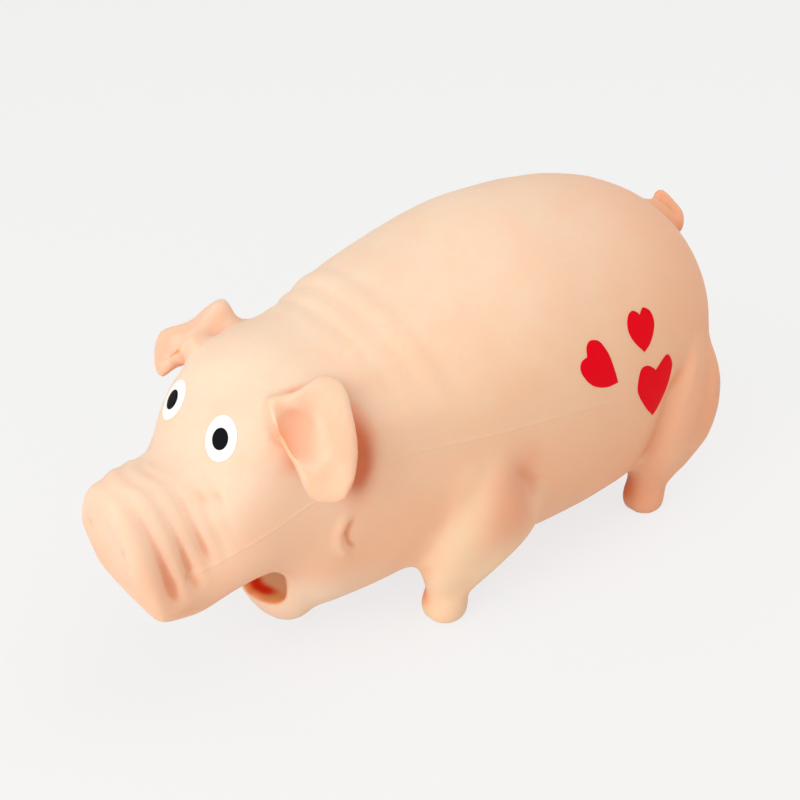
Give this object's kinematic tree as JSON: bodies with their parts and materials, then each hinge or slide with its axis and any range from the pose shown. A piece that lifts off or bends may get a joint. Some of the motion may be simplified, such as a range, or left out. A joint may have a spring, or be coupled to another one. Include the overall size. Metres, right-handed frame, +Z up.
{
  "type": "pig dog toy",
  "caption": "Stuffed latex squeeze toy for dogs shaped as a standing pig, with painted eyes and hearts, a curled tail and a bellows grunter inside; pressing the back works the bellows.",
  "frame": {"origin": "on the floor under the middle of the toy's overall box", "axes": "-Y out of the snout, +X to the pig's left, +Z up"},
  "size_m": [0.1024, 0.2298, 0.1255],
  "materials": {
    "latex": "matte to satin, slightly translucent",
    "fleece": "loose polyester fibre",
    "hard_plastic": "moulded, satin",
    "soft_plastic": "soft moulded film",
    "reed_film": "smooth film",
    "white_paint": "paint",
    "black_paint": "paint",
    "red_paint": "paint"
  },
  "bodies": {
    "body": {"head_skin": "latex", "jaw_skin": "latex", "belly_skin": "latex", "flank_skin": "latex", "front_leg_left": "latex", "front_leg_right": "latex", "hind_leg_left": "latex", "hind_leg_right": "latex", "ear_left": "latex", "ear_right": "latex", "fleece_head": "fleece", "fleece_lower": "fleece", "voice_grille": "hard_plastic", "voice_barrel": "hard_plastic", "voice_tone_board": "hard_plastic", "voice_wedge": "soft_plastic", "voice_bellows": "soft_plastic", "eye_white_left": "white_paint", "eye_white_right": "white_paint", "eye_pupil_left": "black_paint", "eye_pupil_right": "black_paint", "heart_low": "red_paint"},
    "back": {"back_skin": "latex", "tail": "latex", "fleece_upper": "fleece", "voice_crown": "hard_plastic", "heart_top": "red_paint", "heart_front": "red_paint"},
    "reed": {"voice_reed": "reed_film"}
  },
  "joints": [
    {"name": "squeeze", "type": "slide", "parent": "body", "child": "back", "axis": [0, 0, -1], "range_m": [0, 0.01], "stiffness_N_per_m": 900, "springref_m": -0.002, "deforming": ["flank_skin", "fleece_lower", "voice_bellows", "heart_front"]},
    {"name": "reed_flutter", "type": "hinge", "parent": "body", "child": "reed", "pos_m": [0, 0.02745, 0.031], "axis": [1, 0, 0], "range_deg": [0, 5], "stiffness_Nm_per_rad": 0.002, "springref_deg": -2.86}
  ]
}
